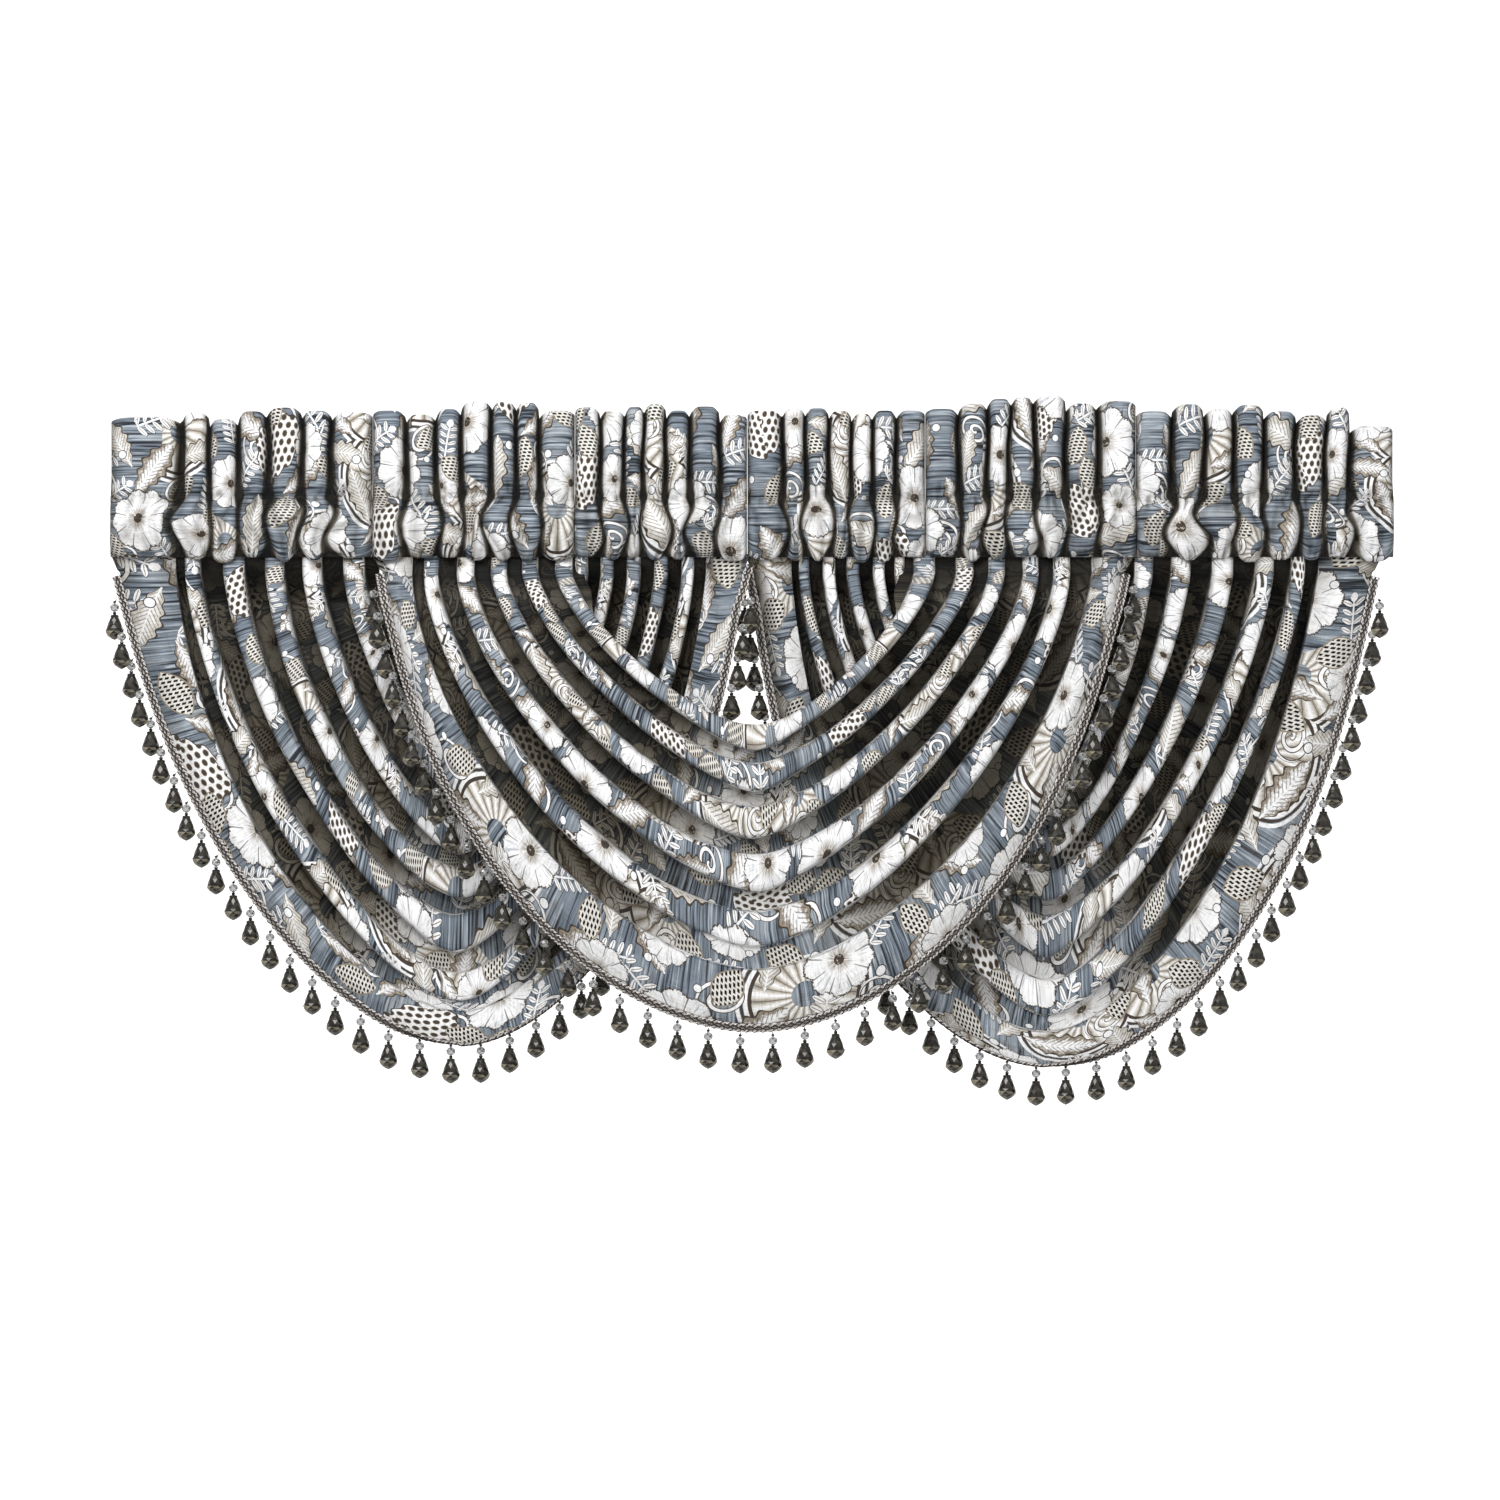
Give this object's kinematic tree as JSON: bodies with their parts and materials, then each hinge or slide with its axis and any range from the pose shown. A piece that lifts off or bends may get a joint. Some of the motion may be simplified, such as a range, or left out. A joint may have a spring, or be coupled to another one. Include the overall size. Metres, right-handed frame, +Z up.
{
  "type": "waterfall valance",
  "caption": "Window valance of draped swags with curved folds, gathered rod-pocket headings and a braid with hanging bead drops.",
  "frame": {"origin": "middle of the rod channel, halfway along the valance", "axes": "+X along the rod towards the viewer's right, the front faces -Y, +Z up"},
  "size_m": [1.6411, 0.1087, 0.9041],
  "materials": {
    "jacquard": "woven polyester jacquard, blue-grey striped ground with off-white, taupe and dark brown leaves and flowers, soft sheen",
    "bead_fringe": "smoky grey-brown and clear faceted acrylic beads on a black and off-white braid"
  },
  "bodies": {
    "root": {"left_swag_heading_a": "jacquard", "left_swag_heading_b": "jacquard", "centre_swag_heading_a": "jacquard", "centre_swag_heading_b": "jacquard", "right_swag_heading_a": "jacquard", "right_swag_heading_b": "jacquard", "left_swag": "jacquard", "centre_swag": "jacquard", "right_swag": "jacquard", "left_swag_bead_fringe_a": "bead_fringe", "left_swag_bead_fringe_b": "bead_fringe", "centre_swag_bead_fringe_a": "bead_fringe", "centre_swag_bead_fringe_b": "bead_fringe", "right_swag_bead_fringe_a": "bead_fringe", "right_swag_bead_fringe_b": "bead_fringe"}
  },
  "joints": []
}
